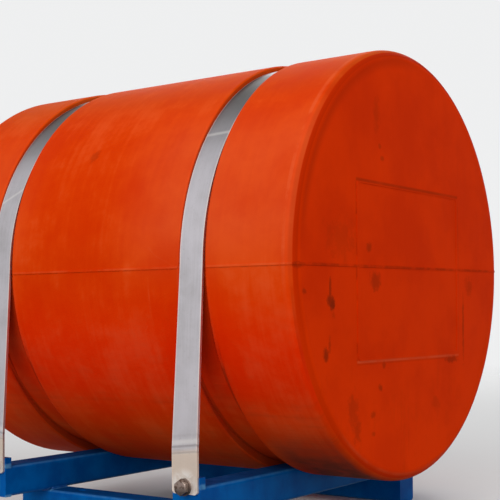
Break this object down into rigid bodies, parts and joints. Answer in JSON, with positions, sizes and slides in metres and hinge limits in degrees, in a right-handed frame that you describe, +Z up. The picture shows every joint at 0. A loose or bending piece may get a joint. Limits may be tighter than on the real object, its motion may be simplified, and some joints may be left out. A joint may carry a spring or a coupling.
{
  "type": "buoy float drum on a steel cradle",
  "caption": "Cylindrical moulded float drum of a buoy, lying on a welded steel cradle and held down in its grooves by flat stainless steel straps with bolted ends.",
  "frame": {"origin": "floor level under the middle of the cradle, halfway between the straps", "axes": "+X along the drum axis towards the end face with the plain border, +Z up"},
  "size_m": [0.902, 0.892, 0.9139],
  "materials": {
    "orange_plastic": "rotationally moulded polyethylene, satin and lightly soiled",
    "stainless_strap": "mill-finished stainless flat bar",
    "blue_paint": "gloss machine enamel, dusty",
    "bolt_steel": "dull galvanised bolt"
  },
  "bodies": {
    "root": {"drum": "orange_plastic", "strap_left": "stainless_strap", "strap_right": "stainless_strap", "beam_left": "blue_paint", "beam_right": "blue_paint", "rail_near": "blue_paint", "rail_far": "blue_paint", "lug_near_left": "blue_paint", "lug_near_right": "blue_paint", "lug_far_left": "blue_paint", "lug_far_right": "blue_paint", "bolt_near_left": "bolt_steel", "bolt_near_right": "bolt_steel", "bolt_far_left": "bolt_steel", "bolt_far_right": "bolt_steel", "washer_near_left": "bolt_steel", "washer_near_right": "bolt_steel", "washer_far_left": "bolt_steel", "washer_far_right": "bolt_steel", "cap_near_left": "blue_paint", "cap_near_right": "blue_paint", "cap_far_left": "blue_paint", "cap_far_right": "blue_paint"}
  },
  "joints": []
}
